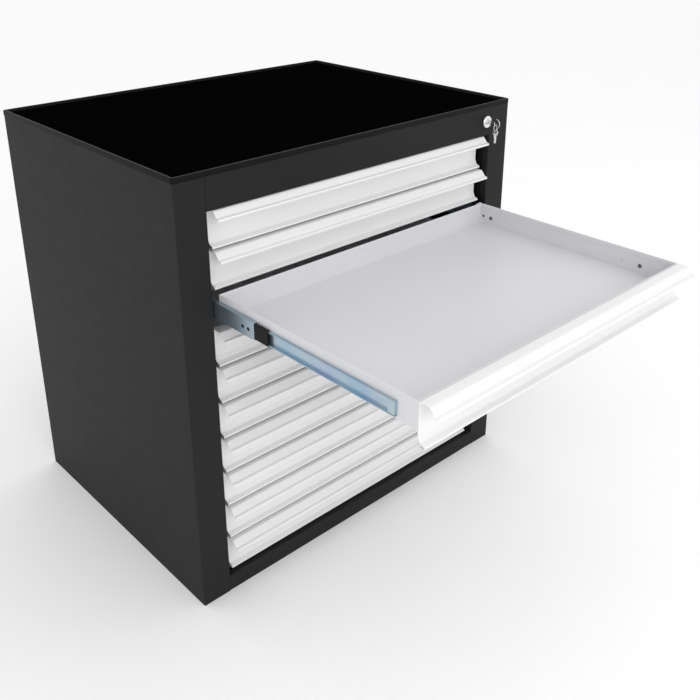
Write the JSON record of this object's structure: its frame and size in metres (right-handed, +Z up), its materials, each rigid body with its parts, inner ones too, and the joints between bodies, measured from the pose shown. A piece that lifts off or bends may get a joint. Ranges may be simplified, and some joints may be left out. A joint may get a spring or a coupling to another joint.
{
  "type": "drawer cabinet",
  "caption": "Steel tool cabinet with full-width shallow drawers on ball bearing slides, a keyed lock that bars them all, and a rimmed top with a mat.",
  "frame": {"origin": "centre of the underside of the base, on the floor", "axes": "+Z up, +Y towards the back, so the drawers open along -Y; +X to the right seen from the front"},
  "size_m": [1.004, 1.3432, 1.012],
  "materials": {
    "body_paint": "satin dark grey powder coat",
    "drawer_paint": "satin light grey powder coat",
    "zinc": "bright zinc plate",
    "post_paint": "satin dark grey powder coat",
    "rim_plastic": "black moulded plastic",
    "mat_rubber": "black rubber sheet",
    "lock_chrome": "polished",
    "rivet_steel": "plain steel"
  },
  "bodies": {
    "root": {"left_side_panel": "body_paint", "right_side_panel": "body_paint", "rear_panel": "body_paint", "base_panel": "body_paint", "top_rail": "body_paint", "top_panel": "body_paint", "top_rim": "rim_plastic", "top_mat": "mat_rubber", "left_uprights": "post_paint", "right_uprights": "post_paint", "outer_slide_channels": "zinc", "lock_housing": "lock_chrome", "lock_brackets": "zinc", "fasteners": "rivet_steel"},
    "drawer_01": {"drawer_01_tray": "drawer_paint", "drawer_01_front": "drawer_paint", "drawer_01_inner_slides": "zinc"},
    "drawer_01_middle": {"drawer_01_middle_slides": "zinc"},
    "drawer_02": {"drawer_02_tray": "drawer_paint", "drawer_02_front": "drawer_paint", "drawer_02_inner_slides": "zinc"},
    "drawer_02_middle": {"drawer_02_middle_slides": "zinc"},
    "drawer_03": {"drawer_03_tray": "drawer_paint", "drawer_03_front": "drawer_paint", "drawer_03_inner_slides": "zinc"},
    "drawer_03_middle": {"drawer_03_middle_slides": "zinc"},
    "drawer_04": {"drawer_04_tray": "drawer_paint", "drawer_04_front": "drawer_paint", "drawer_04_inner_slides": "zinc"},
    "drawer_04_middle": {"drawer_04_middle_slides": "zinc"},
    "drawer_05": {"drawer_05_tray": "drawer_paint", "drawer_05_front": "drawer_paint", "drawer_05_inner_slides": "zinc"},
    "drawer_05_middle": {"drawer_05_middle_slides": "zinc"},
    "drawer_06": {"drawer_06_tray": "drawer_paint", "drawer_06_front": "drawer_paint", "drawer_06_inner_slides": "zinc"},
    "drawer_06_middle": {"drawer_06_middle_slides": "zinc"},
    "drawer_07": {"drawer_07_tray": "drawer_paint", "drawer_07_front": "drawer_paint", "drawer_07_inner_slides": "zinc"},
    "drawer_07_middle": {"drawer_07_middle_slides": "zinc"},
    "drawer_08": {"drawer_08_tray": "drawer_paint", "drawer_08_front": "drawer_paint", "drawer_08_inner_slides": "zinc"},
    "drawer_08_middle": {"drawer_08_middle_slides": "zinc"},
    "drawer_09": {"drawer_09_tray": "drawer_paint", "drawer_09_front": "drawer_paint", "drawer_09_inner_slides": "zinc"},
    "drawer_09_middle": {"drawer_09_middle_slides": "zinc"},
    "drawer_10": {"drawer_10_tray": "drawer_paint", "drawer_10_front": "drawer_paint", "drawer_10_inner_slides": "zinc"},
    "drawer_10_middle": {"drawer_10_middle_slides": "zinc"},
    "lock": {"lock_plug": "lock_chrome", "lock_rod": "zinc", "key": "lock_chrome"},
    "hanging_keys": {"key_ring": "lock_chrome", "spare_key": "lock_chrome"},
    "locking_bar": {"locking_bar": "zinc"}
  },
  "joints": [
    {"name": "drawer_01_slide", "type": "slide", "parent": "root", "child": "drawer_01", "axis": [0, -1, 0], "range_m": [0, 0.576]},
    {"name": "drawer_01_middle_slide", "type": "slide", "parent": "root", "child": "drawer_01_middle", "axis": [0, -1, 0], "range_m": [0, 0.2023]},
    {"name": "drawer_02_slide", "type": "slide", "parent": "root", "child": "drawer_02", "axis": [0, -1, 0], "range_m": [0, 0.576]},
    {"name": "drawer_02_middle_slide", "type": "slide", "parent": "root", "child": "drawer_02_middle", "axis": [0, -1, 0], "range_m": [0, 0.2023]},
    {"name": "drawer_03_slide", "type": "slide", "parent": "root", "child": "drawer_03", "axis": [0, -1, 0], "range_m": [-0.576, 0]},
    {"name": "drawer_03_middle_slide", "type": "slide", "parent": "root", "child": "drawer_03_middle", "axis": [0, -1, 0], "range_m": [-0.2023, 0]},
    {"name": "drawer_04_slide", "type": "slide", "parent": "root", "child": "drawer_04", "axis": [0, -1, 0], "range_m": [0, 0.576]},
    {"name": "drawer_04_middle_slide", "type": "slide", "parent": "root", "child": "drawer_04_middle", "axis": [0, -1, 0], "range_m": [0, 0.2023]},
    {"name": "drawer_05_slide", "type": "slide", "parent": "root", "child": "drawer_05", "axis": [0, -1, 0], "range_m": [0, 0.576]},
    {"name": "drawer_05_middle_slide", "type": "slide", "parent": "root", "child": "drawer_05_middle", "axis": [0, -1, 0], "range_m": [0, 0.2023]},
    {"name": "drawer_06_slide", "type": "slide", "parent": "root", "child": "drawer_06", "axis": [0, -1, 0], "range_m": [0, 0.576]},
    {"name": "drawer_06_middle_slide", "type": "slide", "parent": "root", "child": "drawer_06_middle", "axis": [0, -1, 0], "range_m": [0, 0.2023]},
    {"name": "drawer_07_slide", "type": "slide", "parent": "root", "child": "drawer_07", "axis": [0, -1, 0], "range_m": [0, 0.576]},
    {"name": "drawer_07_middle_slide", "type": "slide", "parent": "root", "child": "drawer_07_middle", "axis": [0, -1, 0], "range_m": [0, 0.2023]},
    {"name": "drawer_08_slide", "type": "slide", "parent": "root", "child": "drawer_08", "axis": [0, -1, 0], "range_m": [0, 0.576]},
    {"name": "drawer_08_middle_slide", "type": "slide", "parent": "root", "child": "drawer_08_middle", "axis": [0, -1, 0], "range_m": [0, 0.2023]},
    {"name": "drawer_09_slide", "type": "slide", "parent": "root", "child": "drawer_09", "axis": [0, -1, 0], "range_m": [0, 0.576]},
    {"name": "drawer_09_middle_slide", "type": "slide", "parent": "root", "child": "drawer_09_middle", "axis": [0, -1, 0], "range_m": [0, 0.2023]},
    {"name": "drawer_10_slide", "type": "slide", "parent": "root", "child": "drawer_10", "axis": [0, -1, 0], "range_m": [0, 0.576]},
    {"name": "drawer_10_middle_slide", "type": "slide", "parent": "root", "child": "drawer_10_middle", "axis": [0, -1, 0], "range_m": [0, 0.2023]},
    {"name": "lock_turn", "type": "hinge", "parent": "root", "child": "lock", "pos_m": [0.4145, -0.375, 0.965], "axis": [0, 1, 0], "range_deg": [0, 90]},
    {"name": "keys_hang", "type": "hinge", "parent": "lock", "child": "hanging_keys", "pos_m": [0.4145, -0.405, 0.95675], "axis": [0, 1, 0], "range_deg": [-90, 0]},
    {"name": "bar_shift", "type": "slide", "parent": "root", "child": "locking_bar", "axis": [-1, 0, 0], "range_m": [0, 0.01131]}
  ],
  "couplings": [
    {"joint": "drawer_01_middle_slide", "follows": "drawer_01_slide", "ratio": 0.351},
    {"joint": "drawer_02_middle_slide", "follows": "drawer_02_slide", "ratio": 0.351},
    {"joint": "drawer_03_middle_slide", "follows": "drawer_03_slide", "ratio": 0.351},
    {"joint": "drawer_04_middle_slide", "follows": "drawer_04_slide", "ratio": 0.351},
    {"joint": "drawer_05_middle_slide", "follows": "drawer_05_slide", "ratio": 0.351},
    {"joint": "drawer_06_middle_slide", "follows": "drawer_06_slide", "ratio": 0.351},
    {"joint": "drawer_07_middle_slide", "follows": "drawer_07_slide", "ratio": 0.351},
    {"joint": "drawer_08_middle_slide", "follows": "drawer_08_slide", "ratio": 0.351},
    {"joint": "drawer_09_middle_slide", "follows": "drawer_09_slide", "ratio": 0.351},
    {"joint": "drawer_10_middle_slide", "follows": "drawer_10_slide", "ratio": 0.351},
    {"joint": "keys_hang", "follows": "bar_shift", "rad_per_m": -138.84},
    {"joint": "lock_turn", "follows": "bar_shift", "rad_per_m": 138.84}
  ]
}
